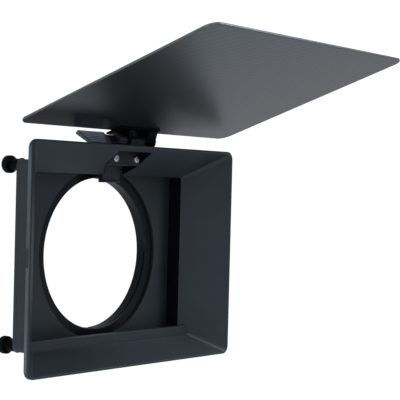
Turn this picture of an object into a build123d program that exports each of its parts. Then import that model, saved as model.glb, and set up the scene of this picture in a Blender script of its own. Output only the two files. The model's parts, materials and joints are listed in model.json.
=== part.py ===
"""Clamp-on matte box (lens hood) with a tilting carbon-fibre top flag.

Frame: +X right, -Y towards the scene (the hood's mouth), +Y towards the camera body, +Z up.
Origin: centre of the lens clamp's bore.  Millimetres.
"""
from build123d import *
import os
from math import cos, sin, radians

# ---------------------------------------------------------------- driving dimensions
BORE_R = 47.5            # the clamp fits a 95 mm lens front
BORE_LENGTH = 8.0
RING_FRONT = -BORE_LENGTH / 2
RING_REAR = BORE_LENGTH / 2

RIM_Y = -39.0            # front face of the hood's mouth
RIM_W = 189.0
RIM_H = 135.5
RIM_CORNER = 5.5
RIM_LIP = 1.3            # width of the mouth's front edge
RIM_DEPTH = 2.8          # depth of the stiffening band round the mouth
WALL = 2.2

THROAT_Y = -15.8         # rear end of the funnel, where the filter stage starts
THROAT_HALF_W = 68.2
THROAT_TOP = 49.5
THROAT_BOTTOM = -52.0
THROAT_CORNER = 1.5
HOOD_FLANGE_Y = -19.5    # front face of the hood's rear flange
LEDGE_DEPTH = 5.2        # raised bar across the throat's lower edge
LEDGE_TOP = -49.3

STAGE_W = 143.0
STAGE_H = 114.0
STAGE_CORNER = 4.0
STAGE_SIDE_WALL = 2.3
STAGE_TOP_WALL = 3.0
PLATE_FRONT = -5.8       # front face of the rear plate
PLATE_REAR = -2.5
OPENING_R = 53.8         # hole in the rear plate round the lens
FELT = 0.8

THUMB_X = 66.0           # thumbscrew axes
THUMB_Z = 54.0
THUMB_HEAD_R = 5.35
THUMB_HEAD_FRONT = 6.5
THUMB_HEAD_T = 3.4
THUMB_NECK_R = 3.4
THUMB_FLUTES = 30
THUMB_FLUTE_R = 0.45
THUMB_DISH_R = 3.4
THUMB_DISH_DEPTH = 0.7
THUMB_SKIRT = 0.7        # the head's plain front end is smaller than its fluted rim by this
THUMB_SKIRT_T = 0.5
THUMB_WASHER_T = 0.5
THUMB_THREAD_R = 1.45
INSERT_LENGTH = 2.6
INSERT_R = 2.0

AXIS_Y = -28.8           # flag hinge axis, along X
AXIS_Z = 71.2
FLAG_TILT = 19.0         # how far the flag's front is raised at rest, degrees
FLAG_W = 192.6
FLAG_L = 144.4
FLAG_T = 1.5
FLAG_CORNER = 7.0
FLAG_REAR = -1.9         # flag's rear edge in the tilted hinge frame
FLAG_UNDER = 4.95        # flag's underside above the hinge axis

BARREL_R = 2.8
BARREL_X0 = -2.5
BARREL_X1 = 12.0
EAR_R = 4.3
LEFT_EAR_T = 2.8
RIGHT_EAR_T = 8.3
WASHER_T = 0.3
AXLE_R = 1.5
FIT = 0.05               # radial clearance of a running fit
CLEAR = 0.35             # radial clearance of a loose hole


def across(y):
    """Plane across the optical axis at depth y: local x is X, local y is Z, normal is -Y."""
    return Plane.XZ.offset(-y)


def along(x):
    """Plane across the hinge axis at X = x: local x is Y, local y is Z, normal is +X."""
    return Plane.YZ.offset(x)


def finish(part, label):
    """Name a finished piece and write it."""
    part.part.label = label
    export_step(part.part, f"parts/{label}.step")


os.makedirs("parts", exist_ok=True)

CORNER_POINTS = [(sx * THUMB_X, sz * THUMB_Z) for sx in (-1, 1) for sz in (-1, 1)]

# ---------------------------------------------------------------- hood shell
THROAT_MID = (THROAT_TOP + THROAT_BOTTOM) / 2
THROAT_H = THROAT_TOP - THROAT_BOTTOM
BAND_STEP = 0.8          # the mouth's band stands this far proud of the funnel
NOTCH_FRONT = -35.5      # notch in the top wall for the hinge base and the filter catch
NOTCH_TAPER = -24.0
NOTCH_X0 = -16.6
NOTCH_X1 = 13.6
NOTCH_HALF_REAR = 8.7
NOTCH_ROOF = 55.5
NOTCH_CHEEK_T = 1.6
NOTCH_CHEEK_TOP = 64.8
NOTCH_CHEEK_X = (NOTCH_X0 - NOTCH_CHEEK_T / 2, NOTCH_X1 + NOTCH_CHEEK_T / 2)
NOTCH_MID_X = (NOTCH_X0 + NOTCH_X1) / 2
NOTCH_MID_Y = (NOTCH_FRONT + HOOD_FLANGE_Y) / 2
NOTCH_LENGTH = HOOD_FLANGE_Y - NOTCH_FRONT
SEAL_T = 0.35            # black foam strips that line the notch
LEDGE_FRONT = THROAT_Y - LEDGE_DEPTH
LEDGE_LOW = THROAT_BOTTOM - 3.2
WALL_SPREAD = (RIM_W / 2 - RIM_LIP - THROAT_HALF_W) / (THROAT_Y - RIM_Y)   # widening per mm towards the mouth
LEDGE_HALF_REAR = THROAT_HALF_W + WALL / 2
LEDGE_HALF_FRONT = LEDGE_HALF_REAR + LEDGE_DEPTH * WALL_SPREAD
LUG_HALF = 15.0          # lug on the rear flange that carries the hinge base
LUG_TOP = 66.0
LUG_LOW = STAGE_H / 2 - 4
SIDE_NOTCH_Y = -37.1     # small accessory notch in each side of the mouth's band
SIDE_NOTCH_Z = 1.0
SIDE_NOTCH_L = 11.0
SIDE_NOTCH_W = 1.8
SIDE_NOTCH_DEPTH = 0.6
INSERT_HOLE = INSERT_LENGTH + 0.1
FLANGE_MID_Y = (THROAT_Y + HOOD_FLANGE_Y) / 2
FLANGE_T = THROAT_Y - HOOD_FLANGE_Y
BASE_SCREW_X = 9.65
BASE_SCREW_Z = 59.8
BASE_SCREW_R = 1.25


# the space inside the funnel, which is cut out of the hood and its seals
with BuildPart() as funnel_space:
    with BuildSketch(across(RIM_Y)):
        RectangleRounded(RIM_W - 2 * RIM_LIP, RIM_H - 2 * RIM_LIP, RIM_CORNER - RIM_LIP)
    with BuildSketch(across(THROAT_Y)):
        with Locations((0, THROAT_MID)):
            RectangleRounded(2 * THROAT_HALF_W, THROAT_H, THROAT_CORNER)
    loft()

with BuildPart() as hood_shell:
    with BuildSketch(across(RIM_Y + RIM_DEPTH)):
        RectangleRounded(RIM_W, RIM_H, RIM_CORNER)
    extrude(amount=RIM_DEPTH)
    with BuildSketch(across(RIM_Y + RIM_DEPTH / 2)):
        RectangleRounded(RIM_W - 2 * BAND_STEP, RIM_H - 2 * BAND_STEP, RIM_CORNER)
    with BuildSketch(across(THROAT_Y)):
        with Locations((0, THROAT_MID)):
            RectangleRounded(2 * (THROAT_HALF_W + WALL), THROAT_H + 2 * WALL, THROAT_CORNER + WALL)
    loft()
    with BuildSketch(across(THROAT_Y)):
        RectangleRounded(STAGE_W, STAGE_H, STAGE_CORNER)
        with Locations((0, (LUG_LOW + LUG_TOP) / 2)):
            RectangleRounded(2 * LUG_HALF, LUG_TOP - LUG_LOW, 1.5)
    extrude(amount=FLANGE_T)
    # cheeks that box the notch in, above the sloping top wall
    with BuildSketch(Plane.XY.offset(THROAT_TOP)):
        with Locations(*[(x, NOTCH_MID_Y) for x in NOTCH_CHEEK_X]):
            Rectangle(NOTCH_CHEEK_T, NOTCH_LENGTH)
    extrude(amount=NOTCH_CHEEK_TOP - THROAT_TOP)
    add(funnel_space.part, mode=Mode.SUBTRACT)
    # raised ledge along the throat's lower edge, from side wall to side wall
    with BuildSketch(Plane.XY.offset(LEDGE_LOW)):
        with BuildLine():
            Polyline((-LEDGE_HALF_FRONT, LEDGE_FRONT), (LEDGE_HALF_FRONT, LEDGE_FRONT),
                     (LEDGE_HALF_REAR, THROAT_Y), (-LEDGE_HALF_REAR, THROAT_Y), close=True)
        make_face()
    extrude(amount=LEDGE_TOP - LEDGE_LOW)
    # notch through the top wall, wide in front and narrow at the throat
    with BuildSketch(Plane.XY.offset(NOTCH_ROOF)):
        with BuildLine():
            Polyline((NOTCH_X0, NOTCH_FRONT), (NOTCH_X1, NOTCH_FRONT), (NOTCH_X1, NOTCH_TAPER),
                     (NOTCH_HALF_REAR, THROAT_Y), (-NOTCH_HALF_REAR, THROAT_Y),
                     (NOTCH_X0, NOTCH_TAPER), close=True)
        make_face()
    extrude(amount=THROAT_TOP - WALL - NOTCH_ROOF, mode=Mode.SUBTRACT)
    with BuildSketch(Plane.XY.offset(NOTCH_ROOF)):
        with Locations((NOTCH_MID_X, NOTCH_MID_Y)):
            Rectangle(NOTCH_X1 - NOTCH_X0, NOTCH_LENGTH)
    extrude(amount=RIM_H / 2 - NOTCH_ROOF, mode=Mode.SUBTRACT)
    # accessory notches in the sides of the mouth's band
    with Locations([(sx * RIM_W / 2, SIDE_NOTCH_Y, SIDE_NOTCH_Z) for sx in (-1, 1)]):
        Box(2 * SIDE_NOTCH_DEPTH, SIDE_NOTCH_W, SIDE_NOTCH_L, mode=Mode.SUBTRACT)
    # sockets for the four threaded inserts, and pilot holes for the hinge base screws
    with Locations(*[Location((x, THROAT_Y - INSERT_HOLE / 2, z), (90, 0, 0)) for x, z in CORNER_POINTS]):
        Cylinder(INSERT_R, INSERT_HOLE, mode=Mode.SUBTRACT)
    with Locations(*[Location((sx * BASE_SCREW_X, FLANGE_MID_Y, BASE_SCREW_Z), (90, 0, 0)) for sx in (-1, 1)]):
        Cylinder(BASE_SCREW_R, 3 * FLANGE_T, mode=Mode.SUBTRACT)
finish(hood_shell, "hood_shell")

with BuildPart() as notch_seals:
    for side, edge in ((-1, NOTCH_X0), (1, NOTCH_X1)):
        with BuildSketch(Plane.XY.offset(NOTCH_ROOF)):
            with Locations((edge - side * SEAL_T / 2, NOTCH_MID_Y)):
                Rectangle(SEAL_T, NOTCH_LENGTH)
        extrude(amount=NOTCH_CHEEK_TOP - NOTCH_ROOF)
        with BuildSketch(Plane.XY.offset(NOTCH_ROOF)):
            with BuildLine():
                Polyline((edge, NOTCH_TAPER), (side * NOTCH_HALF_REAR, THROAT_Y),
                         (side * (NOTCH_HALF_REAR - SEAL_T), THROAT_Y), (edge - side * SEAL_T, NOTCH_TAPER),
                         close=True)
            make_face()
        extrude(amount=THROAT_TOP - NOTCH_ROOF)
    add(funnel_space.part, mode=Mode.SUBTRACT)
finish(notch_seals, "notch_seals")

with BuildPart() as hood_inserts:
    with Locations(*[Location((x, THROAT_Y - INSERT_LENGTH / 2, z), (90, 0, 0)) for x, z in CORNER_POINTS]):
        Cylinder(INSERT_R, INSERT_LENGTH)
        Cylinder(THUMB_THREAD_R + FIT, INSERT_LENGTH, mode=Mode.SUBTRACT)
finish(hood_inserts, "hood_inserts")

# ---------------------------------------------------------------- filter stage
STAGE_INNER_W = STAGE_W - 2 * STAGE_SIDE_WALL
STAGE_INNER_H = STAGE_H - 2 * STAGE_TOP_WALL
STAGE_MID_Y = (THROAT_Y + PLATE_FRONT) / 2
STAGE_DEPTH = PLATE_FRONT - THROAT_Y
BOSS_W = 8.4             # corner bosses that the thumbscrews pass through
BOSS_H = 5.8
CATCH_HALF = 7.8         # half width of the filter catch
CHEEK_GAP = 0.5
CHEEK_T = 2.5
CHEEK_X = CATCH_HALF + CHEEK_GAP + CHEEK_T / 2
CATCH_PIN_Y = -11.5
CATCH_PIN_Z = 59.5
CATCH_PIN_R = 1.0
CHEEK_TOP = CATCH_PIN_Z + 2.8
WINDOW_REAR = -6.6
PLATE_SCREW_X = 34.0
PLATE_SCREW_R = 0.9
PLATE_SCREW_Z = 55.1
PLATE_HEAD_R = 1.6
PLATE_SCREW_POINTS = [(sx * PLATE_SCREW_X, sz * PLATE_SCREW_Z)
                      for sx in (-1, 1) for sz in (-1, 1)]

with BuildPart() as filter_stage:
    with BuildSketch(across(PLATE_FRONT)):
        RectangleRounded(STAGE_W, STAGE_H, STAGE_CORNER)
        RectangleRounded(STAGE_INNER_W, STAGE_INNER_H, 1.5, mode=Mode.SUBTRACT)
        with Locations(*CORNER_POINTS):
            RectangleRounded(BOSS_W, BOSS_H, 1)
    extrude(amount=STAGE_DEPTH)
    # cheeks that hold the catch's pin, over the window in the top wall
    with BuildSketch(Plane.XY.offset(STAGE_H / 2 - 1)):
        with Locations((-CHEEK_X, STAGE_MID_Y), (CHEEK_X, STAGE_MID_Y)):
            Rectangle(CHEEK_T, STAGE_DEPTH)
    extrude(amount=CHEEK_TOP - STAGE_H / 2 + 1)
    with BuildSketch(Plane.XY.offset(STAGE_INNER_H / 2 - 1)):
        with Locations((0, (THROAT_Y + WINDOW_REAR) / 2)):
            Rectangle(2 * (CATCH_HALF + CHEEK_GAP), WINDOW_REAR - THROAT_Y)
    extrude(amount=STAGE_TOP_WALL + 2, mode=Mode.SUBTRACT)
    with Locations(Location((0, CATCH_PIN_Y, CATCH_PIN_Z), (0, 90, 0))):
        Cylinder(CATCH_PIN_R, 3 * CHEEK_X, mode=Mode.SUBTRACT)
    with Locations(*[Location((x, STAGE_MID_Y, z), (90, 0, 0)) for x, z in CORNER_POINTS]):
        Cylinder(THUMB_THREAD_R + CLEAR, 2 * STAGE_DEPTH, mode=Mode.SUBTRACT)
    with Locations(*[Location((x, PLATE_FRONT, z), (90, 0, 0)) for x, z in PLATE_SCREW_POINTS]):
        Cylinder(PLATE_SCREW_R, STAGE_DEPTH, mode=Mode.SUBTRACT)
finish(filter_stage, "filter_stage")

FELT_H = THROAT_TOP - LEDGE_TOP
for side, sx in (("left", -1), ("right", 1)):
    with BuildPart() as felt:
        with Locations((sx * (STAGE_INNER_W - FELT) / 2, STAGE_MID_Y, 0)):
            Box(FELT, STAGE_DEPTH, FELT_H)
    finish(felt, f"side_felt_{side}")

# ---------------------------------------------------------------- filter catch
CATCH_TIP = 44.8
CATCH_FRONT = -14.5
CATCH_REAR = -8.5
CATCH_LIP = 0.7          # the tip stands this far forward
CATCH_TOE = 1.6          # the toe behind the tip is cut back by this
CATCH_HEEL = 48.2
CATCH_BOSS_R = 3.0
SPRING_POCKET = (6.0, 8.0, 5.6)
GROOVE_DEPTH = 0.4
GROOVE_W = 0.6
GROOVE_Y = (-13.2, -11.8, -10.4)
GROOVE_MID_Z = (CATCH_TIP + CATCH_PIN_Z) / 2 - 2

with BuildPart() as filter_catch:
    with BuildSketch(along(-CATCH_HALF)):
        with BuildLine():
            Polyline((CATCH_FRONT, CATCH_PIN_Z), (CATCH_FRONT, CATCH_TIP + 2.3 * CATCH_LIP),
                     (CATCH_FRONT - CATCH_LIP, CATCH_TIP + 1.7 * CATCH_LIP),
                     (CATCH_FRONT - CATCH_LIP, CATCH_TIP),
                     (CATCH_REAR - CATCH_TOE, CATCH_TIP), (CATCH_REAR - CATCH_TOE, CATCH_HEEL),
                     (CATCH_REAR, CATCH_HEEL + CATCH_TOE / 2), (CATCH_REAR, CATCH_PIN_Z), close=True)
        make_face()
    extrude(amount=2 * CATCH_HALF)
    with Locations(Location((0, CATCH_PIN_Y, CATCH_PIN_Z), (0, 90, 0))):
        Cylinder(CATCH_BOSS_R, 2 * CATCH_HALF)
        Cylinder(CATCH_PIN_R + FIT, 2 * CATCH_HALF, mode=Mode.SUBTRACT)
    # pocket for the torsion spring
    with Locations((0, CATCH_PIN_Y, CATCH_PIN_Z + 0.6)):
        Box(*SPRING_POCKET, mode=Mode.SUBTRACT)
    # upright grip grooves in both sides
    with Locations([(sx * CATCH_HALF, y, GROOVE_MID_Z) for sx in (-1, 1) for y in GROOVE_Y]):
        Box(2 * GROOVE_DEPTH, GROOVE_W, CATCH_PIN_Z - CATCH_TIP - 4, mode=Mode.SUBTRACT)
finish(filter_catch, "filter_catch")

with BuildPart() as catch_pin:
    with Locations(Location((0, CATCH_PIN_Y, CATCH_PIN_Z), (0, 90, 0))):
        Cylinder(CATCH_PIN_R, 2 * CHEEK_X + CHEEK_T)
    chamfer(catch_pin.edges().filter_by(GeomType.CIRCLE), 0.2)
finish(catch_pin, "catch_pin")

SPRING_R = 1.75
SPRING_WIRE_R = 0.25
SPRING_TURNS = 5
SPRING_PITCH = 2.3 * SPRING_WIRE_R
with BuildPart() as catch_spring:
    for turn in range(SPRING_TURNS):
        coil_x = (turn - (SPRING_TURNS - 1) / 2) * SPRING_PITCH
        with BuildSketch(Plane(origin=(coil_x, CATCH_PIN_Y, CATCH_PIN_Z), x_dir=(0, 1, 0), z_dir=(0, 0, 1))):
            with Locations((SPRING_R, 0)):
                Rectangle(2 * SPRING_WIRE_R, 1.05 * SPRING_PITCH)
        revolve(axis=Axis((0, CATCH_PIN_Y, CATCH_PIN_Z), (1, 0, 0)))
finish(catch_spring, "catch_spring")

# ---------------------------------------------------------------- rear plate
RING_SEAT_R = 55.6       # counterbore that the clamp ring's flange sits in
RING_FLANGE_R = 55.35
RING_FLANGE_REAR = -2.5
RETAINER_R = 56.0
RETAINER_T = 1.8
RETAINER_SCREW = 44.0
RETAINER_EAR_R = 4.6
RETAINER_POINTS = [(sx * RETAINER_SCREW, sz * RETAINER_SCREW) for sx in (-1, 1) for sz in (-1, 1)]
RETAINER_HEAD_R = 2.2
RETAINER_HEAD_T = 1.6
SMALL_SCREW_R = 1.1
PLATE_SKIN = 0.8         # plate left in front of the retainer screws
PLATE_BEVEL = 0.8
PLATE_HEAD_T = 1.1
PLATE_COUNTERBORE = 1.2
PLATE_SCREW_L = 6.4

with BuildPart() as rear_plate:
    with BuildSketch(across(PLATE_REAR)):
        RectangleRounded(STAGE_W, STAGE_H, STAGE_CORNER)
        Circle(OPENING_R, mode=Mode.SUBTRACT)
        with Locations(*CORNER_POINTS):
            Circle(THUMB_THREAD_R + CLEAR, mode=Mode.SUBTRACT)
        with Locations(*PLATE_SCREW_POINTS):
            Circle(PLATE_SCREW_R, mode=Mode.SUBTRACT)
        with Locations(*RETAINER_POINTS):
            Circle(SMALL_SCREW_R, mode=Mode.SUBTRACT)
    extrude(amount=PLATE_REAR - PLATE_FRONT)
    with BuildSketch(across(PLATE_REAR)):
        Circle(RING_SEAT_R)
    extrude(amount=PLATE_REAR - RING_FRONT + 0.02, mode=Mode.SUBTRACT)
    # close the front of the retainer screw holes
    with BuildSketch(across(PLATE_FRONT + PLATE_SKIN)):
        with Locations(*RETAINER_POINTS):
            Circle(SMALL_SCREW_R + 0.01)
    extrude(amount=PLATE_SKIN)
    chamfer(rear_plate.faces().sort_by(Axis.Y)[-1].outer_wire().edges(), PLATE_BEVEL)
    with BuildSketch(across(PLATE_REAR)):
        with Locations(*PLATE_SCREW_POINTS):
            Circle(PLATE_HEAD_R + 0.1)
    extrude(amount=PLATE_COUNTERBORE, mode=Mode.SUBTRACT)
finish(rear_plate, "rear_plate")

with BuildPart() as plate_screws:
    head_rear = PLATE_REAR - PLATE_COUNTERBORE + PLATE_HEAD_T
    with BuildSketch(across(head_rear)):
        with Locations(*PLATE_SCREW_POINTS):
            Circle(PLATE_HEAD_R)
    extrude(amount=PLATE_HEAD_T)
    with BuildSketch(across(head_rear)):
        with Locations(*PLATE_SCREW_POINTS):
            Circle(PLATE_SCREW_R - 0.02)
    extrude(amount=PLATE_HEAD_T + PLATE_SCREW_L)
    with BuildSketch(across(head_rear)):
        with Locations(*PLATE_SCREW_POINTS):
            RegularPolygon(0.8, 6)
    extrude(amount=PLATE_HEAD_T / 2, mode=Mode.SUBTRACT)
finish(plate_screws, "plate_screws")

# ---------------------------------------------------------------- lens clamp
BAND_R = 52.5
SLIT_W = 0.9
SPLIT_W = 2.4
CLAMP_EAR_W = 6.0
CLAMP_EAR_LOW = -62.0
CLAMP_EAR_FRONT = 0.2
CLAMP_EAR_REAR = 9.0
CLAMP_SCREW_Y = 4.8
CLAMP_SCREW_Z = -57.6
CLAMP_SCREW_R = 1.5
CLAMP_EAR_TOP = -46.0
CLAMP_EAR_X = CLAMP_EAR_W + SPLIT_W / 2      # outer face of each ear
NUT_SIDE = 5.5
NUT_T = 2.6
NUT_POCKET = NUT_T - 0.1

with BuildPart() as clamp_ring:
    with BuildSketch(across(RING_REAR)):
        Circle(BAND_R)
    extrude(amount=BORE_LENGTH)
    with BuildSketch(across(RING_FLANGE_REAR)):
        Circle(RING_FLANGE_R)
    extrude(amount=RING_FLANGE_REAR - RING_FRONT)
    with BuildSketch(across(CLAMP_EAR_REAR)):
        with Locations((0, (CLAMP_EAR_LOW + CLAMP_EAR_TOP) / 2)):
            Rectangle(2 * CLAMP_EAR_X, CLAMP_EAR_TOP - CLAMP_EAR_LOW)
    extrude(amount=CLAMP_EAR_REAR - CLAMP_EAR_FRONT)
    fillet(clamp_ring.edges().filter_by(Axis.X).group_by(Axis.Z)[0], 2.5)
    with BuildSketch(across(RING_REAR)):
        Circle(BORE_R)
    extrude(amount=BORE_LENGTH, mode=Mode.SUBTRACT)
    with BuildSketch(across(CLAMP_EAR_REAR)):
        Circle(BAND_R - 0.5)
    extrude(amount=CLAMP_EAR_REAR - RING_REAR, mode=Mode.SUBTRACT)
    # slit behind the flange over the lower half, and the split at the bottom
    with BuildSketch(across(RING_FLANGE_REAR + SLIT_W)):
        with Locations((0, -RING_FLANGE_R)):
            Rectangle(3 * RING_FLANGE_R, 2 * RING_FLANGE_R)
    extrude(amount=SLIT_W, mode=Mode.SUBTRACT)
    with BuildSketch(across(CLAMP_EAR_REAR + 1)):
        with Locations((0, -RING_FLANGE_R)):
            Rectangle(SPLIT_W, BORE_R / 2)
    extrude(amount=CLAMP_EAR_REAR + 1 - RING_FLANGE_REAR, mode=Mode.SUBTRACT)
    with Locations(Location((0, CLAMP_SCREW_Y, CLAMP_SCREW_Z), (0, 90, 0))):
        Cylinder(CLAMP_SCREW_R + CLEAR, 4 * CLAMP_EAR_X, mode=Mode.SUBTRACT)
    # square pocket for the nut in the left ear
    with Locations((-CLAMP_EAR_X, CLAMP_SCREW_Y, CLAMP_SCREW_Z)):
        Box(2 * NUT_POCKET, NUT_SIDE + 0.1, NUT_SIDE + 0.1, mode=Mode.SUBTRACT)
    front_circles = clamp_ring.faces().sort_by(Axis.Y)[0].edges().filter_by(GeomType.CIRCLE)
    chamfer(front_circles.sort_by(SortBy.RADIUS)[0], 0.35)
finish(clamp_ring, "clamp_ring")

with BuildPart() as ring_retainer:
    with BuildSketch(across(PLATE_REAR + RETAINER_T)):
        Circle(RETAINER_R)
        with Locations(*RETAINER_POINTS):
            Circle(RETAINER_EAR_R)
        with PolarLocations(RETAINER_R - 2, 4, start_angle=45):
            RectangleRounded(16, 14, 2)
        Circle(BAND_R + 1.2, mode=Mode.SUBTRACT)
        with Locations(*RETAINER_POINTS):
            Circle(SMALL_SCREW_R + 0.1, mode=Mode.SUBTRACT)
    extrude(amount=RETAINER_T)
finish(ring_retainer, "ring_retainer")

with BuildPart() as retainer_screws:
    head_front = PLATE_REAR + RETAINER_T
    for x, z in RETAINER_POINTS:
        with BuildSketch(across(head_front + RETAINER_HEAD_T)):
            with Locations((x, z)):
                Circle(RETAINER_HEAD_R)
        extrude(amount=RETAINER_HEAD_T)
        with BuildSketch(across(head_front)):
            with Locations((x, z)):
                Circle(SMALL_SCREW_R - 0.02)
        extrude(amount=head_front - PLATE_FRONT - PLATE_SKIN - 0.1)
        with BuildSketch(across(head_front + RETAINER_HEAD_T)):
            with Locations((x, z)):
                RegularPolygon(1.0, 6)
        extrude(amount=1.0, mode=Mode.SUBTRACT)
finish(retainer_screws, "retainer_screws")

CLAMP_NECK_X = CLAMP_EAR_X + 0.3
CLAMP_NECK_R = 3.0
CLAMP_NECK_L = 2.0
CLAMP_KNOB_R = 5.0
CLAMP_KNOB_L = 6.5
CLAMP_FLUTES = 14
CLAMP_FLUTE_R = 0.55
with BuildPart() as clamp_screw:
    with BuildSketch(along(CLAMP_NECK_X)):
        with Locations((CLAMP_SCREW_Y, CLAMP_SCREW_Z)):
            Circle(CLAMP_NECK_R)
    extrude(amount=CLAMP_NECK_L)
    with BuildSketch(along(CLAMP_NECK_X + CLAMP_NECK_L)):
        with Locations((CLAMP_SCREW_Y, CLAMP_SCREW_Z)):
            Circle(CLAMP_KNOB_R)
            with PolarLocations(CLAMP_KNOB_R + 0.2, CLAMP_FLUTES):
                Circle(CLAMP_FLUTE_R, mode=Mode.SUBTRACT)
    extrude(amount=CLAMP_KNOB_L)
    with BuildSketch(along(CLAMP_NECK_X)):
        with Locations((CLAMP_SCREW_Y, CLAMP_SCREW_Z)):
            Circle(CLAMP_SCREW_R)
    extrude(amount=0.2 - 2 * CLAMP_EAR_X)
finish(clamp_screw, "clamp_screw")

with BuildPart() as clamp_nut:
    with Locations((-CLAMP_EAR_X + NUT_POCKET - NUT_T / 2 - 0.1, CLAMP_SCREW_Y, CLAMP_SCREW_Z)):
        Box(NUT_T, NUT_SIDE, NUT_SIDE)
    with Locations(Location((-CLAMP_EAR_X, CLAMP_SCREW_Y, CLAMP_SCREW_Z), (0, 90, 0))):
        Cylinder(CLAMP_SCREW_R + FIT, 4 * NUT_T, mode=Mode.SUBTRACT)
finish(clamp_nut, "clamp_nut")

# ---------------------------------------------------------------- thumbscrews
for name, (x, z) in zip(("left_low", "left_high", "right_low", "right_high"), CORNER_POINTS):
    with BuildPart() as thumbscrew:
        with BuildSketch(across(THUMB_HEAD_FRONT + THUMB_HEAD_T)):
            with Locations((x, z)):
                Circle(THUMB_HEAD_R)
                with PolarLocations(THUMB_HEAD_R + THUMB_FLUTE_R / 2, THUMB_FLUTES):
                    Circle(THUMB_FLUTE_R, mode=Mode.SUBTRACT)
        extrude(amount=THUMB_HEAD_T)
        with BuildSketch(across(THUMB_HEAD_FRONT)):
            with Locations((x, z)):
                Circle(THUMB_HEAD_R - THUMB_SKIRT)
        extrude(amount=THUMB_SKIRT_T)
        with BuildSketch(across(THUMB_HEAD_FRONT)):
            with Locations((x, z)):
                Circle(THUMB_NECK_R)
        extrude(amount=THUMB_HEAD_FRONT - PLATE_REAR - THUMB_WASHER_T - 0.3)
        with BuildSketch(across(THUMB_HEAD_FRONT)):
            with Locations((x, z)):
                Circle(THUMB_THREAD_R)
        extrude(amount=THUMB_HEAD_FRONT - THROAT_Y + INSERT_LENGTH - 0.2)
        with BuildSketch(across(THUMB_HEAD_FRONT + THUMB_HEAD_T)):
            with Locations((x, z)):
                Circle(THUMB_DISH_R)
        extrude(amount=THUMB_DISH_DEPTH, mode=Mode.SUBTRACT)
    finish(thumbscrew, f"thumbscrew_{name}")

with BuildPart() as thumb_washers:
    with BuildSketch(across(PLATE_REAR + THUMB_WASHER_T)):
        with Locations(*CORNER_POINTS):
            Circle(THUMB_NECK_R + 0.5)
            Circle(THUMB_THREAD_R + CLEAR, mode=Mode.SUBTRACT)
    extrude(amount=THUMB_WASHER_T)
finish(thumb_washers, "thumb_washers")

# ---------------------------------------------------------------- hinge base
BASE_FRONT = -26.0
BASE_BOTTOM = NOTCH_ROOF + 0.2
BASE_X0 = NOTCH_X0 + SEAL_T + FIT
BASE_X1 = NOTCH_X1 - SEAL_T - FIT
BASE_MID_Y = (BASE_FRONT + HOOD_FLANGE_Y) / 2
BASE_DEPTH = HOOD_FLANGE_Y - BASE_FRONT
BASE_HALF_REAR = 10.6
DECK_FRONT = -33.0
DECK_X0 = -17.0
DECK_X1 = 18.0
DECK_Z0 = 65.0
DECK_Z1 = 66.6
SHOULDER_Z = 58.3
PEDESTAL_Z = DECK_Z1 - 0.5
PEDESTAL_REAR = AXIS_Y + 2 * BARREL_R
BASE_HEAD_R = 2.2
BASE_HEAD_T = 1.3
CROSS_SLOT = (2.4, 0.6)
CROSS_DEPTH = 0.8

with BuildPart() as hinge_base:
    with BuildSketch(Plane.XY.offset(BASE_BOTTOM)):
        with BuildLine():
            Polyline((BASE_X0, BASE_FRONT), (BASE_X1, BASE_FRONT), (BASE_X1, NOTCH_TAPER),
                     (BASE_HALF_REAR, HOOD_FLANGE_Y), (-BASE_HALF_REAR, HOOD_FLANGE_Y),
                     (BASE_X0, NOTCH_TAPER), close=True)
        make_face()
    extrude(amount=SHOULDER_Z - BASE_BOTTOM)
    with BuildSketch(Plane.XY.offset(SHOULDER_Z)):
        with Locations(((BASE_X0 + BASE_X1) / 2, BASE_MID_Y)):
            Rectangle(BASE_X1 - BASE_X0, BASE_DEPTH)
    extrude(amount=DECK_Z0 - SHOULDER_Z)
    with BuildSketch(Plane.XY.offset(DECK_Z0)):
        with Locations(((DECK_X0 + DECK_X1) / 2, (DECK_FRONT + HOOD_FLANGE_Y) / 2)):
            RectangleRounded(DECK_X1 - DECK_X0, HOOD_FLANGE_Y - DECK_FRONT, 1.5)
    extrude(amount=DECK_Z1 - DECK_Z0)
    # pedestal and barrel
    with BuildSketch(along(BARREL_X0)):
        with BuildLine():
            Polyline((AXIS_Y - BARREL_R, AXIS_Z), (AXIS_Y - BARREL_R, PEDESTAL_Z),
                     (PEDESTAL_REAR, PEDESTAL_Z), (AXIS_Y + BARREL_R, AXIS_Z - BARREL_R / 2),
                     (AXIS_Y + BARREL_R, AXIS_Z), close=True)
        make_face()
        with Locations((AXIS_Y, AXIS_Z)):
            Circle(BARREL_R)
    extrude(amount=BARREL_X1 - BARREL_X0)
    with Locations(Location(((BARREL_X0 + BARREL_X1) / 2, AXIS_Y, AXIS_Z), (0, 90, 0))):
        Cylinder(AXLE_R + FIT, 3 * BARREL_X1, mode=Mode.SUBTRACT)
    with Locations(*[Location((sx * BASE_SCREW_X, BASE_MID_Y, BASE_SCREW_Z), (90, 0, 0)) for sx in (-1, 1)]):
        Cylinder(BASE_SCREW_R + FIT, 2 * BASE_DEPTH, mode=Mode.SUBTRACT)
finish(hinge_base, "hinge_base")

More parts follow.
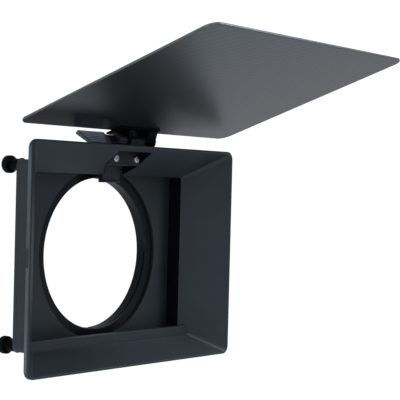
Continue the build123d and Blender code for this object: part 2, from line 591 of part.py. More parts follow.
with BuildPart() as base_screws:
    for sx in (-1, 1):
        with BuildSketch(across(BASE_FRONT)):
            with Locations((sx * BASE_SCREW_X, BASE_SCREW_Z)):
                Circle(BASE_HEAD_R)
        extrude(amount=BASE_HEAD_T)
        with BuildSketch(across(THROAT_Y - 0.3)):
            with Locations((sx * BASE_SCREW_X, BASE_SCREW_Z)):
                Circle(BASE_SCREW_R - 0.02)
        extrude(amount=THROAT_Y - 0.3 - BASE_FRONT)
    fillet(base_screws.edges().filter_by(GeomType.CIRCLE).group_by(Axis.Y)[0], 0.6)
    for sx in (-1, 1):
        with BuildSketch(across(BASE_FRONT - BASE_HEAD_T + CROSS_DEPTH)):
            with Locations((sx * BASE_SCREW_X, BASE_SCREW_Z)):
                Rectangle(*CROSS_SLOT)
                Rectangle(*reversed(CROSS_SLOT))
        extrude(amount=2 * CROSS_DEPTH, mode=Mode.SUBTRACT)
finish(base_screws, "base_screws")

# ---------------------------------------------------------------- flag and its foot
TILT = radians(FLAG_TILT)
tilted = Plane(origin=(0, AXIS_Y, AXIS_Z), x_dir=(1, 0, 0), z_dir=(0, sin(TILT), cos(TILT)))
EAR_X = [(BARREL_X0 - WASHER_T - LEFT_EAR_T, BARREL_X0 - WASHER_T),
         (BARREL_X1 + WASHER_T, BARREL_X1 + WASHER_T + RIGHT_EAR_T)]
FOOT_X0 = -18.0
FOOT_X1 = EAR_X[1][1]
FOOT_MID = (FOOT_X0 + FOOT_X1) / 2
FOOT_W = FOOT_X1 - FOOT_X0
FOOT_FRONT = -10.0
FOOT_REAR = 3.0
FOOT_T = 1.0
CLAMP_PLATE_T = 1.5
FLAG_SCREW_INSET = 4.5
FLAG_SCREW_X = (FOOT_X0 + FLAG_SCREW_INSET, FOOT_MID, FOOT_X1 - FLAG_SCREW_INSET)
FLAG_HEAD_R = 1.9
FLAG_HEAD_T = 1.1
FLAG_SCREW_Y = -6.0
FLAG_SCREW_R = 1.0
FLAG_SCREW_POINTS = [(x, FLAG_SCREW_Y) for x in FLAG_SCREW_X]
FLAG_TOP = FLAG_UNDER + FLAG_T

with BuildPart() as carbon_flag:
    with BuildSketch(tilted.offset(FLAG_UNDER)):
        with Locations((0, FLAG_REAR - FLAG_L / 2)):
            RectangleRounded(FLAG_W, FLAG_L, FLAG_CORNER)
        with Locations(*FLAG_SCREW_POINTS):
            Circle(FLAG_SCREW_R + 0.05, mode=Mode.SUBTRACT)
    extrude(amount=FLAG_T)
finish(carbon_flag, "carbon_flag")

EAR_TOP = FLAG_UNDER - FOOT_T / 3
with BuildPart() as flag_foot:
    with BuildSketch(tilted.offset(FLAG_UNDER - FOOT_T)):
        with Locations((FOOT_MID, (FOOT_FRONT + FOOT_REAR) / 2)):
            RectangleRounded(FOOT_W, FOOT_REAR - FOOT_FRONT, 1.5)
    extrude(amount=FOOT_T)
    ear_plane = Plane(origin=(EAR_X[0][0], AXIS_Y, AXIS_Z), x_dir=tilted.y_dir, z_dir=(1, 0, 0))
    for x0, x1 in EAR_X:
        with BuildSketch(ear_plane.offset(x0 - EAR_X[0][0])):
            Circle(EAR_R)
            with BuildLine():
                Polyline((-1.8 * EAR_R, EAR_TOP), (-EAR_R, 0), (EAR_R, 0), (0.7 * EAR_R, EAR_TOP), close=True)
            make_face()
        extrude(amount=x1 - x0)
    with Locations(Location(((BARREL_X0 + BARREL_X1) / 2, AXIS_Y, AXIS_Z), (0, 90, 0))):
        Cylinder(AXLE_R + FIT, 3 * FOOT_W, mode=Mode.SUBTRACT)
    with BuildSketch(tilted.offset(FLAG_UNDER)):
        with Locations(*FLAG_SCREW_POINTS):
            Circle(FLAG_SCREW_R)
    extrude(amount=-2 * FOOT_T, mode=Mode.SUBTRACT)
finish(flag_foot, "flag_foot")

with BuildPart() as flag_clamp_plate:
    with BuildSketch(tilted.offset(FLAG_TOP)):
        with Locations((FOOT_MID, (FOOT_FRONT + FLAG_REAR) / 2)):
            RectangleRounded(FOOT_W, FLAG_REAR - FOOT_FRONT, 1.5)
        with Locations(*FLAG_SCREW_POINTS):
            Circle(FLAG_SCREW_R + 0.05, mode=Mode.SUBTRACT)
    extrude(amount=CLAMP_PLATE_T)
finish(flag_clamp_plate, "flag_clamp_plate")

with BuildPart() as flag_screws:
    with BuildSketch(tilted.offset(FLAG_TOP + CLAMP_PLATE_T)):
        with Locations(*FLAG_SCREW_POINTS):
            Circle(FLAG_HEAD_R)
    extrude(amount=FLAG_HEAD_T)
    with BuildSketch(tilted.offset(FLAG_TOP + CLAMP_PLATE_T)):
        with Locations(*FLAG_SCREW_POINTS):
            Circle(FLAG_SCREW_R - 0.02)
    extrude(amount=-CLAMP_PLATE_T - FLAG_T - FOOT_T + 0.05)
    with BuildSketch(tilted.offset(FLAG_TOP + CLAMP_PLATE_T + FLAG_HEAD_T)):
        with Locations(*FLAG_SCREW_POINTS):
            RegularPolygon(0.9, 6)
    extrude(amount=-0.7, mode=Mode.SUBTRACT)
finish(flag_screws, "flag_screws")

# ---------------------------------------------------------------- hinge axle, washers and lock lever
HUB_R = 3.5
HUB_X0 = -12.8
LEVER_WASHER_T = 0.5
HUB_X1 = EAR_X[0][0] - LEVER_WASHER_T
AXLE_HEAD_X = EAR_X[1][1]
AXLE_HEAD_R = 2.7
AXLE_HEAD_T = 1.8
AXLE_END_X = HUB_X0 + 1.5
HUB_WALL = 1.2           # closed outer end of the lever's hub
INSERT_DEPTH = HUB_X1 - HUB_X0 - HUB_WALL

with BuildPart() as hinge_axle:
    with BuildSketch(along(AXLE_END_X)):
        with Locations((AXIS_Y, AXIS_Z)):
            Circle(AXLE_R)
    extrude(amount=AXLE_HEAD_X - AXLE_END_X)
    with BuildSketch(along(AXLE_HEAD_X)):
        with Locations((AXIS_Y, AXIS_Z)):
            Circle(AXLE_HEAD_R)
    extrude(amount=AXLE_HEAD_T)
    with BuildSketch(along(AXLE_HEAD_X + AXLE_HEAD_T)):
        with Locations((AXIS_Y, AXIS_Z)):
            RegularPolygon(1.3, 6)
    extrude(amount=-1.2, mode=Mode.SUBTRACT)
finish(hinge_axle, "hinge_axle")

for name, x0 in (("left", BARREL_X0 - WASHER_T), ("right", BARREL_X1)):
    with BuildPart() as friction_washer:
        with BuildSketch(along(x0)):
            with Locations((AXIS_Y, AXIS_Z)):
                Circle(BARREL_R)
                Circle(AXLE_R + FIT, mode=Mode.SUBTRACT)
        extrude(amount=WASHER_T)
    finish(friction_washer, f"friction_washer_{name}")

with BuildPart() as lever_washer:
    with BuildSketch(along(HUB_X1)):
        with Locations((AXIS_Y, AXIS_Z)):
            Circle(HUB_R - 0.2)
            Circle(AXLE_R + FIT, mode=Mode.SUBTRACT)
    extrude(amount=LEVER_WASHER_T)
finish(lever_washer, "lever_washer")

LEVER_TILT = 38.0        # how far the lever's blade leans about the hinge axis
PADDLE_X0 = -46.0
PADDLE_X1 = -22.0
PADDLE_HALF = 4.4
PADDLE_T = 2.0
LEVER_INSERT_R = 2.3
RIB_COUNT = 6
RIB_PITCH = 1.4
RIB_H = 0.4
RIB_SHORT = 6.6          # half length of the lowest rib, and how the ribs grow and shift upwards
RIB_GROW = 0.62
RIB_MID_X = -31.9
RIB_SHIFT = 0.35
lever_plane = Plane(origin=(0, AXIS_Y, AXIS_Z), x_dir=(1, 0, 0),
                    z_dir=(0, -cos(radians(LEVER_TILT)), sin(radians(LEVER_TILT))))

with BuildPart() as lock_lever:
    with BuildSketch(lever_plane.offset(-PADDLE_T / 2)):
        with BuildLine():
            Polyline((PADDLE_X0, 3.0), (PADDLE_X0 + 1.2, PADDLE_HALF), (PADDLE_X1 - 0.5, PADDLE_HALF),
                     (PADDLE_X1 + 1.0, 2.4), (HUB_X0 + 1.0, 2.6), (HUB_X0 + 1.0, -3.2),
                     (PADDLE_X1 + 1.0, -4.0), (PADDLE_X1 - 2.0, -PADDLE_HALF), (PADDLE_X0 + 7.5, -PADDLE_HALF),
                     close=True)
        make_face()
    extrude(amount=PADDLE_T)
    with BuildSketch(along(HUB_X0)):
        with Locations((AXIS_Y, AXIS_Z)):
            Circle(HUB_R)
    extrude(amount=HUB_X1 - HUB_X0)
    with BuildSketch(along(HUB_X1)):
        with Locations((AXIS_Y, AXIS_Z)):
            Circle(LEVER_INSERT_R)
    extrude(amount=-INSERT_DEPTH, mode=Mode.SUBTRACT)
    for side in (1, -1):
        with BuildSketch(lever_plane.offset(side * PADDLE_T / 2)):
            for rib in range(RIB_COUNT):
                rib_y = -PADDLE_HALF + RIB_PITCH * (rib + 0.7)
                rib_half = RIB_SHORT + RIB_GROW * rib
                with Locations((RIB_MID_X - RIB_SHIFT * rib, rib_y)):
                    Rectangle(2 * rib_half, RIB_PITCH / 2)
        extrude(amount=side * RIB_H)
finish(lock_lever, "lock_lever")

with BuildPart() as lever_insert:
    with BuildSketch(along(HUB_X1)):
        with Locations((AXIS_Y, AXIS_Z)):
            Circle(LEVER_INSERT_R)
            Circle(AXLE_R + FIT, mode=Mode.SUBTRACT)
    extrude(amount=-INSERT_DEPTH)
finish(lever_insert, "lever_insert")
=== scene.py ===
"""Looks of the clamp-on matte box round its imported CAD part: rounded pieces, materials, studio and camera."""
import json
from math import atan2, pi, radians

import bmesh
import bpy
from mathutils import Matrix, Vector


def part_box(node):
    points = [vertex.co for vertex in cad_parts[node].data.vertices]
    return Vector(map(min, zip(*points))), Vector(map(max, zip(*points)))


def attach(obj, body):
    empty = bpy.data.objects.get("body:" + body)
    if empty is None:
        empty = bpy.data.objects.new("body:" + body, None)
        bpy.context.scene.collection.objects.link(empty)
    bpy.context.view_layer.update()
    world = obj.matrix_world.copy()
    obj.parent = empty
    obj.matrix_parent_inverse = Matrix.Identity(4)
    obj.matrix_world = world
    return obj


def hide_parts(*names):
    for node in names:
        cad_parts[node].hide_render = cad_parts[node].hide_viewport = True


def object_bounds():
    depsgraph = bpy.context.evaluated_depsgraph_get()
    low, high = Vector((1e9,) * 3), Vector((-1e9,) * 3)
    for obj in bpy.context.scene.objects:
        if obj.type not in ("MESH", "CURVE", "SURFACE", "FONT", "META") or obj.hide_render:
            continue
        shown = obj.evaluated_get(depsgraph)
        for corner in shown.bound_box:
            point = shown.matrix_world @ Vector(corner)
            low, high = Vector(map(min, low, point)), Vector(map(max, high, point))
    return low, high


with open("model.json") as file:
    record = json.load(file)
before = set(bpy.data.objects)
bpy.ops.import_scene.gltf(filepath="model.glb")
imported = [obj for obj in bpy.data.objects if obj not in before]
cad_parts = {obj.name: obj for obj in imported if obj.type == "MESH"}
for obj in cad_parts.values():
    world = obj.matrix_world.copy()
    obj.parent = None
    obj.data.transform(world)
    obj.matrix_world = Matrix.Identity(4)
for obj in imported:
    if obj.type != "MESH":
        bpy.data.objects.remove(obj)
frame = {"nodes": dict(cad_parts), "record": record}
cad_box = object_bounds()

MM = 0.001
SCENE = bpy.context.scene
BODY_OF = {name: body for body, names in frame["record"]["behaviour"]["bodies"].items() for name in names}
SLOT_OF = {part["node"]: part["material_slot"] for part in frame["record"]["subparts"]}


def placed(name, data):
    """A new object in the scene."""
    made = bpy.data.objects.new(name, data)
    SCENE.collection.objects.link(made)
    return made


# ---------------------------------------------------------------- node helpers

NOISE_LOW = 0.3          # nearly all of a noise lies between these
NOISE_HIGH = 0.7
EDGE_TURN = 0.7          # dot product of the rounded and the flat normal that counts as a full edge
EDGE_SAMPLES = 4


def add(tree, kind, inputs=None, **settings):
    """Add a shader node.  inputs maps a socket's name or number to a value or to another node's output."""
    made = tree.nodes.new("ShaderNode" + kind)
    for name, value in settings.items():
        setattr(made, name, value)
    for name, value in (inputs or {}).items():
        if isinstance(value, bpy.types.NodeSocket):
            tree.links.new(value, made.inputs[name])
        else:
            made.inputs[name].default_value = value
    return made


def calc(tree, operation, *values):
    """Output of one math node."""
    return add(tree, "Math", dict(enumerate(values)), operation=operation).outputs[0]


def times(tree, first, second):
    """Product of two values."""
    return calc(tree, "MULTIPLY", first, second)


def dot(tree, first, second):
    """Dot product of two vectors."""
    return add(tree, "VectorMath", {0: first, 1: second}, operation="DOT_PRODUCT").outputs["Value"]


def axes(tree, where):
    """X, Y and Z of a position."""
    return add(tree, "SeparateXYZ", {0: where}).outputs


def stretched(tree, where, scale, rotation=(0.0, 0.0, 0.0)):
    """where, turned and scaled, so that a noise on it runs in streaks."""
    return add(tree, "Mapping", {"Vector": where, "Rotation": rotation, "Scale": scale}).outputs[0]


def either(tree, choice, first, second):
    """first where choice is 0, second where it is 1."""
    return add(tree, "Mix", {0: choice, 2: first, 3: second}).outputs[0]


def spread(tree, value, low, high, to_low=0.0, to_high=1.0):
    """value, mapped from low..high to to_low..to_high and held inside it."""
    return add(tree, "MapRange", {"Value": value, "From Min": low, "From Max": high,
                                  "To Min": to_low, "To Max": to_high}).outputs[0]


def levelled(tree, noise, to_low=0.0, to_high=1.0):
    """A noise, spread over to_low..to_high."""
    return spread(tree, noise, NOISE_LOW, NOISE_HIGH, to_low, to_high)


def blended(tree, factor, first, second):
    """Colour mix of first and second."""
    mix = add(tree, "Mix", {"Factor": factor}, data_type="RGBA")
    for socket, value in ((mix.inputs[6], first), (mix.inputs[7], second)):
        if isinstance(value, bpy.types.NodeSocket):
            tree.links.new(value, socket)
        else:
            socket.default_value = (*value, 1.0)
    return mix.outputs[2]


def mottled(tree, clouds, base, dark, light):
    """base, varied from dark to light times its tone by clouds."""
    return blended(tree, levelled(tree, clouds), tuple(dark * part for part in base),
                   tuple(light * part for part in base))


def speckle(tree, where, size, detail=2.0, rough=0.5):
    """Noise with features of about the given size in metres."""
    return add(tree, "TexNoise", {"Vector": where, "Scale": 1.0 / size, "Detail": detail,
                                  "Roughness": rough}).outputs[0]


def edge_wear_and_highlight(tree, radius, amount):
    """amount on sharp edges, 0 on flat faces: the mask of edge wear and of painted edge highlights."""
    smooth = add(tree, "Bevel", {"Radius": radius}, samples=EDGE_SAMPLES).outputs[0]
    flat = add(tree, "NewGeometry").outputs["Normal"]
    return times(tree, spread(tree, dot(tree, smooth, flat), 1.0, EDGE_TURN), amount)


def new_material(name, **constant):
    """A material with one Principled shader; constant sets sockets that are the same all over."""
    made = bpy.data.materials.new(name)
    made.use_nodes = True
    tree = made.node_tree
    shader = tree.nodes["Principled BSDF"]
    for socket, value in constant.items():
        shader.inputs[socket.replace("_", " ")].default_value = value
    where = add(tree, "TexCoord").outputs["Object"]
    return made, tree, shader, where


def finish_surface(tree, shader, colour, roughness, height=None, depth=0.0, strength=0.5):
    """Wire the surface's colour, roughness and relief (depth in metres) into its shader."""
    tree.links.new(colour, shader.inputs["Base Color"])
    tree.links.new(roughness, shader.inputs["Roughness"])
    if height is not None:
        bump = add(tree, "Bump", {"Height": height, "Distance": depth, "Strength": strength})
        tree.links.new(bump.outputs[0], shader.inputs["Normal"])


# ---------------------------------------------------------------- measures of the CAD nodes

RIB_ROOT = 1.05 * MM     # from the middle of the lever's blade to the roots of its ribs
RIB_TOP = 1.30 * MM      # and to their tops
BLADE_END = -23 * MM     # the lever's blade lies to the left of this X
HUB_SHADE_START = 0.58         # the painted shade on the lever's hub begins at this part of its width, from the left, and is at full strength from here
HUB_SHADE_FULL = 0.68          # and is in its full colour from here


def widest_face(node):
    """The largest face of a CAD node's mesh."""
    return max(frame["nodes"][node].data.polygons, key=lambda face: face.area)


def blade_middle(node, normal):
    """Middle of the lever's blade along its normal, in metres from the origin."""
    corners = frame["nodes"][node].data.vertices
    reach = [normal.dot(corner.co) for corner in corners if corner.co.x < BLADE_END]
    return (min(reach) + max(reach)) / 2


FLAG_NORMAL = tuple(widest_face("carbon_flag").normal)
FLAG_TILT = atan2(abs(FLAG_NORMAL[1]), abs(FLAG_NORMAL[2]))

# ---------------------------------------------------------------- materials


def painted_rim_highlight(tree, where, node):
    """1 on the outermost sides of a node, behind its front edge, and 0 elsewhere: where a highlight is painted
    on the rim.
    """
    low_corner, high_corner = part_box(node)
    place = axes(tree, where)
    sides = [spread(tree, calc(tree, "ABSOLUTE", place[axis]), high_corner[axis] - 0.5 * MM,
                    high_corner[axis] - 0.1 * MM) for axis in (0, 2)]
    behind = spread(tree, place[1], low_corner[1] + 0.3 * MM, low_corner[1] + 0.7 * MM)
    return times(tree, calc(tree, "MAXIMUM", *sides), behind)


def moulding(name, rim_node, base, wear_and_highlight, rough, shine):
    """Moulded black plastic: fine grain, cloudy tone, faint dust, edges lighter as wear and painted highlight,
    and a painted highlight on the rim's outer sides.
    """
    made, tree, shader, where = new_material(name, Specular_IOR_Level=shine)
    clouds = speckle(tree, where, size=34 * MM, detail=4.0, rough=0.55)
    grain = speckle(tree, where, size=0.32 * MM, rough=0.6)
    dust = spread(tree, speckle(tree, where, size=2.2 * MM, detail=3.0), low=0.62, high=0.78)
    edge = edge_wear_and_highlight(tree, radius=0.5 * MM, amount=0.6)
    # painted highlight: the rim's outer sides are coloured lighter, as if lit
    painted_light = times(tree, painted_rim_highlight(tree, where, rim_node),
                   spread(tree, clouds, low=0.35, high=0.65, to_low=0.5))
    colour = mottled(tree, clouds, base, dark=0.80, light=1.22)
    # the dust is real; the rim's lightening is painted highlight; the edges' lightening is wear and painted
    # highlight
    for wear_and_highlight_mask in (times(tree, dust, 0.10), painted_light, edge):
        colour = blended(tree, wear_and_highlight_mask, colour, wear_and_highlight)
    roughness = calc(tree, "ADD", spread(tree, grain, 0.25, 0.75, rough - 0.07, rough + 0.07),
                     levelled(tree, clouds, -0.03, 0.03))
    roughness = calc(tree, "SUBTRACT", roughness, times(tree, edge, 0.25))
    finish_surface(tree, shader, colour, roughness, grain, depth=0.03 * MM, strength=0.55)
    return made


def ribbed_lever(name, node, base, painted_light, painted_hub_shade):
    """Satin moulded lever: its blade painted lighter as if lit, most on the rib tops, its hub painted darker as
    shade, and edges lighter as wear and painted highlight.
    """
    made, tree, shader, where = new_material(name, Specular_IOR_Level=0.45)
    normal = widest_face(node).normal
    reach = dot(tree, where, tuple(normal))
    off_middle = calc(tree, "ABSOLUTE", calc(tree, "SUBTRACT", reach, blade_middle(node, normal)))
    lit_rib_tops = spread(tree, off_middle, RIB_ROOT, RIB_TOP, to_low=0.25)
    low_corner, high_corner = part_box(node)
    width = high_corner[0] - low_corner[0]
    inner = spread(tree, axes(tree, where)[0], low_corner[0] + HUB_SHADE_START * width,
                   low_corner[0] + HUB_SHADE_FULL * width)
    fine = speckle(tree, where, size=0.22 * MM, rough=0.6)
    clouds = speckle(tree, where, size=6 * MM, detail=3.0)
    edge = edge_wear_and_highlight(tree, radius=0.4 * MM, amount=0.5)
    # painted highlight: the blade, and most of all its rib tops, coloured lighter as if lit
    colour = blended(tree, times(tree, lit_rib_tops, levelled(tree, clouds, to_low=0.75)), base, painted_light)
    # painted shade: the hub coloured darker, as if in shade
    colour = blended(tree, inner, colour, painted_hub_shade)
    colour = blended(tree, times(tree, edge, calc(tree, "SUBTRACT", 1.0, inner)), colour, painted_light)
    roughness = spread(tree, fine, 0.25, 0.75, 0.32, 0.44)
    finish_surface(tree, shader, colour, roughness, fine, depth=0.012 * MM)
    return made


def anodised(name, base, wear_and_highlight, rough, shine):
    """Black anodised metal: fine blasted surface, light scuffs, and edges lighter as wear and painted
    highlight.
    """
    made, tree, shader, where = new_material(name, Specular_IOR_Level=shine)
    blasted = speckle(tree, where, size=0.16 * MM, rough=0.6)
    clouds = speckle(tree, where, size=12 * MM, detail=3.0)
    scratches = speckle(tree, stretched(tree, where, (1.0, 14.0, 3.0)), size=5 * MM, detail=5.0, rough=0.7)
    scuffs = spread(tree, scratches, low=0.60, high=0.72)
    edge = edge_wear_and_highlight(tree, radius=0.25 * MM, amount=0.55)
    colour = mottled(tree, clouds, base, dark=0.8, light=1.2)
    colour = blended(tree, calc(tree, "MAXIMUM", times(tree, scuffs, 0.12), edge), colour, wear_and_highlight)
    roughness = calc(tree, "ADD", levelled(tree, blasted, rough - 0.05, rough + 0.06),
                     times(tree, scuffs, -0.06))
    finish_surface(tree, shader, colour, roughness, blasted, depth=0.02 * MM, strength=0.4)
    return made


def bare_metal(name, base, tarnish, rough, streak):
    """Bright metal with fine polishing streaks and faint tarnish."""
    made, tree, shader, where = new_material(name, Metallic=1.0)
    streaks = speckle(tree, stretched(tree, where, streak), size=0.8 * MM, detail=4.0, rough=0.65)
    clouds = speckle(tree, where, size=3 * MM, detail=3.0)
    colour = blended(tree, spread(tree, clouds, low=0.45, high=0.8, to_high=0.6), base, tarnish)
    roughness = levelled(tree, streaks, rough - 0.06, rough + 0.10)
    finish_surface(tree, shader, colour, roughness, streaks, depth=0.01 * MM, strength=0.4)
    return made


def felt_cloth(name, dark, light):
    """Flocked black felt: matted short fibres that swallow light."""
    made, tree, shader, where = new_material(name, Sheen_Weight=0.01, Sheen_Roughness=0.6,
                                             Specular_IOR_Level=0.02)
    fibre_where = stretched(tree, where, (1.0, 0.35, 1.0), rotation=(0.6, 0.3, 0.2))
    fibres = speckle(tree, fibre_where, size=0.22 * MM, detail=4.0, rough=0.7)
    clumps = speckle(tree, where, size=1.6 * MM, detail=3.0)
    tone = calc(tree, "ADD", times(tree, fibres, 0.6), times(tree, clumps, 0.4))
    colour = blended(tree, spread(tree, tone, low=0.35, high=0.65), dark, light)
    roughness = levelled(tree, fibres, to_low=0.92)
    finish_surface(tree, shader, colour, roughness, tone, depth=0.12 * MM, strength=0.8)
    return made


def nylon(name, dark, light):
    """Smooth black nylon with faint flow lines."""
    made, tree, shader, where = new_material(name)
    flow = speckle(tree, stretched(tree, where, (1.0, 5.0, 1.0)), size=2 * MM, detail=3.0)
    colour = blended(tree, levelled(tree, flow), dark, light)
    roughness = levelled(tree, flow, 0.34, 0.46)
    finish_surface(tree, shader, colour, roughness, flow, depth=0.01 * MM, strength=0.3)
    return made


TOW = 1.95 * MM          # width of one carbon tow
REPEAT = 4.0             # a 2x2 twill repeats every four tows
FIBRE = 0.14 * MM        # width of the fibre streaks, which run along the tow
FIBRE_STRETCH = 0.04     # their width over their length
CUT_EDGE = (0.9, 0.6)    # how far a face looks along the flag's normal, from the cloth to a cut edge


def carbon_twill(name, warp_sheen_tones, weft_sheen_tones, haze, cut_edge):
    """Satin 2x2 carbon twill in the flag's own plane: tow crowns and fibres painted lighter and warp lighter
    than weft as painted sheen, with lighter fibres on the flag's cut edges.
    """
    made, tree, shader, where = new_material(name, Specular_IOR_Level=0.5)
    level = add(tree, "VectorRotate", {"Vector": where, "Angle": -FLAG_TILT}, rotation_type="X_AXIS")
    flat = level.outputs[0]
    place = axes(tree, flat)
    u, v = (calc(tree, "DIVIDE", place[axis], TOW) for axis in (0, 1))
    step = calc(tree, "ADD", calc(tree, "FLOOR", u), calc(tree, "FLOOR", v))
    phase = calc(tree, "FLOORED_MODULO", step, REPEAT)
    weft = calc(tree, "GREATER_THAN", phase, REPEAT / 2 - 0.5)

    across_u, across_v = calc(tree, "FRACT", u), calc(tree, "FRACT", v)
    across = either(tree, weft, across_u, across_v)
    along = either(tree, weft, across_v, across_u)
    along = times(tree, calc(tree, "ADD", along, calc(tree, "FLOORED_MODULO", phase, REPEAT / 2)), 0.5)
    crown = calc(tree, "SINE", times(tree, across, pi))
    hump = calc(tree, "SINE", times(tree, along, pi))
    bulge = calc(tree, "ADD", times(tree, calc(tree, "POWER", hump, 0.6), 0.6), 0.4)
    tow_height = times(tree, calc(tree, "POWER", crown, 0.5), bulge)
    fibres = either(tree, weft, speckle(tree, stretched(tree, flat, (1.0, FIBRE_STRETCH, 1.0)), FIBRE),
                    speckle(tree, stretched(tree, flat, (FIBRE_STRETCH, 1.0, 1.0)), FIBRE))
    clouds = speckle(tree, where, size=40 * MM, detail=3.0)
    fine = speckle(tree, where, size=0.3 * MM)

    # painted sheen: tow crowns and fibre streaks coloured lighter, and warp tows lighter than weft, as the
    # light a satin twill catches
    tone = calc(tree, "ADD", times(tree, tow_height, 0.55), times(tree, fibres, 0.45))
    tone = spread(tree, tone, low=0.25, high=0.9)
    colour = blended(tree, weft, blended(tree, tone, *warp_sheen_tones), blended(tree, tone, *weft_sheen_tones))
    colour = blended(tree, spread(tree, clouds, low=0.35, high=0.7, to_high=0.25), colour, haze)
    facing = dot(tree, add(tree, "TexCoord").outputs["Normal"], FLAG_NORMAL)
    cut = spread(tree, calc(tree, "ABSOLUTE", facing), *CUT_EDGE)
    colour = blended(tree, times(tree, cut, levelled(tree, fibres, to_low=0.6)), colour, cut_edge)
    roughness = calc(tree, "ADD", levelled(tree, fine, 0.29, 0.35), times(tree, weft, 0.03))
    height = calc(tree, "ADD", times(tree, tow_height, 0.8), times(tree, fibres, 0.2))
    finish_surface(tree, shader, colour, roughness, height, depth=0.03 * MM)
    return made


FINISHES = {
    "moulded_black": (moulding, dict(rim_node="hood_shell", base=(0.0120, 0.0160, 0.0198),
                                     wear_and_highlight=(0.080, 0.088, 0.096), rough=0.50, shine=0.42)),
    # the lever's light colour is painted light on its blade, its hub colour is painted shade
    "lever_plastic": (ribbed_lever, dict(node="lock_lever", base=(0.045, 0.050, 0.062),
                                         painted_light=(0.42, 0.45, 0.53), painted_hub_shade=(0.012, 0.014, 0.018))),
    "anodised_black": (anodised, dict(base=(0.0026, 0.0030, 0.0040), wear_and_highlight=(0.10, 0.105, 0.11),
                                      rough=0.34, shine=0.20)),
    # knob_black's very dark base is the parts' own black, darkened further as painted shade for the flag foot
    # under the flag
    "knob_black": (anodised, dict(base=(0.0007, 0.0008, 0.0012), wear_and_highlight=(0.03, 0.032, 0.035),
                                  rough=0.50, shine=0.05)),
    "hinge_black": (anodised, dict(base=(0.0080, 0.0095, 0.0120), wear_and_highlight=(0.08, 0.085, 0.09),
                                   rough=0.42, shine=0.30)),
    "black_steel": (anodised, dict(base=(0.0022, 0.0024, 0.0030), wear_and_highlight=(0.09, 0.09, 0.095),
                                   rough=0.34, shine=0.10)),
    "steel": (bare_metal, dict(base=(0.62, 0.63, 0.65), tarnish=(0.36, 0.36, 0.37), rough=0.22,
                               streak=(1.0, 6.0, 1.0))),
    "brass_insert": (bare_metal, dict(base=(0.66, 0.50, 0.24), tarnish=(0.38, 0.27, 0.12), rough=0.30,
                                      streak=(4.0, 1.0, 4.0))),
    "black_felt": (felt_cloth, dict(dark=(0.0012, 0.0014, 0.0030), light=(0.0040, 0.0044, 0.0080))),
    "nylon": (nylon, dict(dark=(0.018, 0.018, 0.018), light=(0.030, 0.030, 0.031))),
    # carbon tones: the lighter ends, and warp over weft, are painted sheen
    "carbon_fibre": (carbon_twill, dict(warp_sheen_tones=((0.0018, 0.0021, 0.0026), (0.0084, 0.0095, 0.0108)),
                                        weft_sheen_tones=((0.0014, 0.0016, 0.0020), (0.0052, 0.0060, 0.0070)),
                                        haze=(0.006, 0.0070, 0.0080), cut_edge=(0.085, 0.092, 0.100))),
}
MATERIALS = {name: make(name, **looks) for name, (make, looks) in FINISHES.items()}

# ---------------------------------------------------------------- pieces

WELD = 0.002 * MM             # corners nearer than this are one
FLAT_ANGLE = radians(0.6)     # faces that meet at less than this are one
SHARP_ANGLE = radians(32)     # edges sharper than this are rounded
EDGE_SEGMENTS = 2
FACING_FRONT = 0.99           # least Y of a front or rear face's normal

# pieces with round openings: their front and rear faces keep the triangles of the CAD mesh
RINGS = ("rear_plate", "clamp_ring", "ring_retainer", "filter_stage")

# how far each piece's edges are rounded, in millimetres; 0 leaves them sharp
ROUNDING = {
    "hood_shell": 0.28, "filter_stage": 0.3, "rear_plate": 0, "clamp_ring": 0.2, "ring_retainer": 0,
    "hinge_base": 0.18, "carbon_flag": 0.4, "flag_foot": 0.2, "flag_clamp_plate": 0.3,
    "filter_catch": 0.12, "lock_lever": 0.12, "clamp_screw": 0.15,
    "thumbscrew_left_low": 0.14, "thumbscrew_left_high": 0.14,
    "thumbscrew_right_low": 0.14, "thumbscrew_right_high": 0.14,
}


def paint(piece, node):
    """Give a piece the material of a CAD node's slot."""
    piece.data.materials.clear()
    piece.data.materials.append(MATERIALS[SLOT_OF[node]])


def fill_hull(shape, mesh):
    """Fill shape with the convex hull of mesh, which closes the holes in it."""
    for corner in mesh.vertices:
        shape.verts.new(corner.co)
    hull = bmesh.ops.convex_hull(shape, input=shape.verts)
    inner = {item for item in hull["geom_interior"] + hull["geom_unused"]
             if isinstance(item, bmesh.types.BMVert)}
    bmesh.ops.delete(shape, geom=list(inner), context="VERTS")


def cleaned(node):
    """The CAD node's mesh with its flat faces made whole, and without the flag's hidden screw holes."""
    shape = bmesh.new()
    if node == "carbon_flag":
        fill_hull(shape, frame["nodes"][node].data)
    else:
        shape.from_mesh(frame["nodes"][node].data)
    bmesh.ops.remove_doubles(shape, verts=shape.verts, dist=WELD)
    edges = shape.edges
    corners = shape.verts
    if node in RINGS:
        corners = []
        edges = [edge for edge in shape.edges
                 if any(abs(face.normal.y) < FACING_FRONT for face in edge.link_faces)]
    bmesh.ops.dissolve_limit(shape, angle_limit=FLAT_ANGLE, verts=corners, edges=edges)
    mesh = bpy.data.meshes.new(node + "_rounded")
    shape.to_mesh(mesh)
    shape.free()
    for face in mesh.polygons:
        face.use_smooth = True
    return mesh


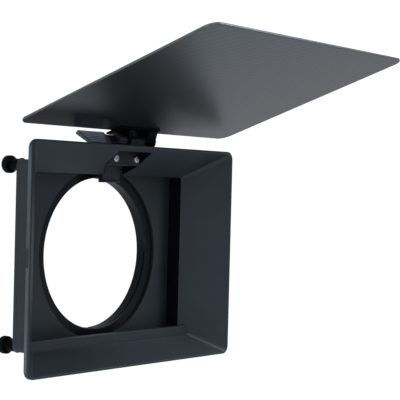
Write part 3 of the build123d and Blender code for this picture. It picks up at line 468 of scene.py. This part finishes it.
def rounded(node, width):
    """A finished piece shaped like a CAD node, with its sharp edges rounded by width, or left sharp by 0."""
    mesh = cleaned(node)
    piece = placed(node + "_rounded", mesh)
    if width:
        bevel = piece.modifiers.new("edges", "BEVEL")
        bevel.width = width
        bevel.segments = EDGE_SEGMENTS
        bevel.limit_method = "ANGLE"
        bevel.angle_limit = SHARP_ANGLE
        bevel.use_clamp_overlap = False
        bevel.face_strength_mode = "FSTR_ALL"
    else:
        mesh.set_sharp_from_angle(angle=SHARP_ANGLE)
    weighted = piece.modifiers.new("normals", "WEIGHTED_NORMAL")
    weighted.keep_sharp = True
    weighted.use_face_influence = bool(width)
    graph = bpy.context.evaluated_depsgraph_get()
    final = bpy.data.meshes.new_from_object(piece.evaluated_get(graph), preserve_all_data_layers=True,
                                            depsgraph=graph)
    piece.modifiers.clear()
    piece.data = final
    paint(piece, node)
    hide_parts(node)
    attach(piece, BODY_OF[node])


for node, width in ROUNDING.items():
    rounded(node, width * MM)

for node, piece in frame["nodes"].items():
    if node not in ROUNDING:
        paint(piece, node)

# ---------------------------------------------------------------- studio

FLOOR_DROP = 0.26        # the matte box hangs from its lens clamp, above the floor
FLOOR_RADIUS = 1.35
FLOOR_SIDES = 96
FLOOR_FADE = 0.75        # from here outwards the floor brightens into the white backdrop
AMBIENT = 0.37           # light that the surroundings give
BACKDROP = 1.05          # brightness of the backdrop behind the object
COOL = (0.88, 1.0, 1.10) # tint of the surroundings' light and of the lamps
WHITE = (1.0, 1.0, 1.0)

# name, place and aim in metres, side of the square in metres, power in watts
SOFTBOXES = (
    ("key", (-0.72, -1.1, 0.80), (0, -0.03, 0.0), 0.6, 3.2),
    ("fill", (0.76, -0.80, 0.95), (0, -0.03, -0.05), 0.6, 11.5),
    ("side", (-1.2, -0.15, 0.10), (-0.08, 0.0, 0.0), 0.5, 7.0),
)


def floor():
    """A plain pale floor with a barely uneven painted surface, which fades into the backdrop."""
    shape = bmesh.new()
    bmesh.ops.create_circle(shape, cap_ends=True, segments=FLOOR_SIDES, radius=FLOOR_RADIUS)
    mesh = bpy.data.meshes.new("studio_floor")
    shape.to_mesh(mesh)
    shape.free()
    made = placed("studio_floor", mesh)
    made.location = (0, 0, cad_box[0][2] - FLOOR_DROP)
    material, tree, shader, where = new_material("studio_paint", Specular_IOR_Level=0.1)
    patch = speckle(tree, where, size=0.6)
    colour = blended(tree, patch, (0.86, 0.87, 0.88), (0.92, 0.92, 0.93))
    finish_surface(tree, shader, colour, levelled(tree, patch, 0.8, 0.9))
    distance = add(tree, "VectorMath", {0: where}, operation="LENGTH").outputs["Value"]
    fade = add(tree, "MapRange", {"Value": distance, "From Min": FLOOR_FADE, "From Max": FLOOR_RADIUS},
               interpolation_type="SMOOTHSTEP").outputs[0]
    glow = add(tree, "Emission", {"Color": (*WHITE, 1.0), "Strength": BACKDROP}).outputs[0]
    mix = add(tree, "MixShader", {0: fade, 1: shader.outputs[0], 2: glow}).outputs[0]
    tree.links.new(mix, tree.nodes["Material Output"].inputs["Surface"])
    mesh.materials.append(material)


def surroundings():
    """A white backdrop whose light on the object is softer than its look."""
    world = bpy.data.worlds.new("studio")
    world.use_nodes = True
    tree = world.node_tree
    seen = add(tree, "LightPath").outputs["Is Camera Ray"]
    backdrop = tree.nodes["Background"]
    tree.links.new(blended(tree, seen, COOL, WHITE), backdrop.inputs["Color"])
    tree.links.new(spread(tree, seen, 0.0, 1.0, AMBIENT, BACKDROP), backdrop.inputs["Strength"])
    SCENE.world = world


def softbox(name, place, aim, size, power):
    """A square soft light that points at aim."""
    lamp = bpy.data.lights.new(name, "AREA")
    lamp.shape = "SQUARE"
    lamp.size = size
    lamp.energy = power
    lamp.color = COOL
    made = placed(name, lamp)
    made.location = place
    made.rotation_euler = (Vector(aim) - Vector(place)).to_track_quat("-Z", "Y").to_euler()


floor()
surroundings()
for box in SOFTBOXES:
    softbox(*box)
SCENE.view_settings.view_transform = "Standard"

# ---------------------------------------------------------------- camera

CAMERA_PLACE = (-594.6 * MM, -544.1 * MM, 39.4 * MM)
CAMERA_YAW = radians(51.65)     # to the right of +Y
CAMERA_PITCH = radians(1.01)    # below level
CAMERA_ROLL = radians(1.46)
SENSOR_WIDTH = 36.0             # in millimetres, like the focal length
FOCAL_LENGTH = 114.1
SHIFT_X = 0.0385                # parts of the frame's width
SHIFT_Y = 0.0387
NEAREST = 0.01

lens = bpy.data.cameras.new("camera")
lens.sensor_width = SENSOR_WIDTH
lens.lens = FOCAL_LENGTH
lens.shift_x = SHIFT_X
lens.shift_y = SHIFT_Y
lens.clip_start = NEAREST
camera = placed("camera", lens)
turn = (Matrix.Rotation(-CAMERA_YAW, 3, "Z") @ Matrix.Rotation(pi / 2 - CAMERA_PITCH, 3, "X")
        @ Matrix.Rotation(CAMERA_ROLL, 3, "Z"))
camera.matrix_world = Matrix.Translation(CAMERA_PLACE) @ turn.to_4x4()
SCENE.camera = camera
